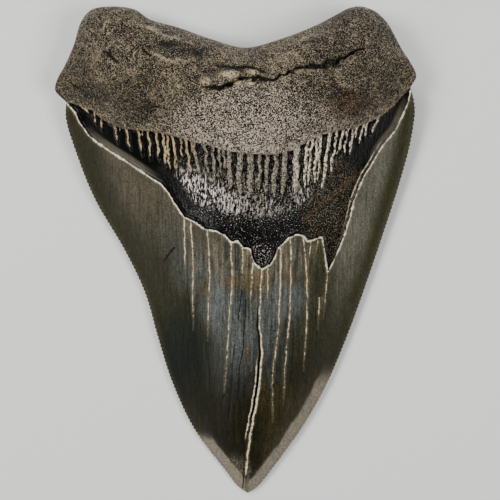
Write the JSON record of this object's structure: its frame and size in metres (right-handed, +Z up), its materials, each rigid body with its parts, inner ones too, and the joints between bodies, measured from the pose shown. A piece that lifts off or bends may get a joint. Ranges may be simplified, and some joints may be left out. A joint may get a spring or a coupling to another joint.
{
  "type": "fossil megalodon tooth",
  "caption": "Large fossil shark tooth: a broad serrated crown with cracked enamel, a ridged bare band and a thick two-lobed root, lying on its flat outer face.",
  "frame": {"origin": "on the surface that the tooth lies on, under the middle of its length and width", "axes": "+Y from the tip to the root, +Z up through the swollen inner face, +X to the right seen from above"},
  "size_m": [0.0985, 0.14, 0.0301],
  "materials": {
    "fossil_tooth": "satin"
  },
  "bodies": {
    "root": {"tooth": "fossil_tooth"}
  },
  "joints": []
}
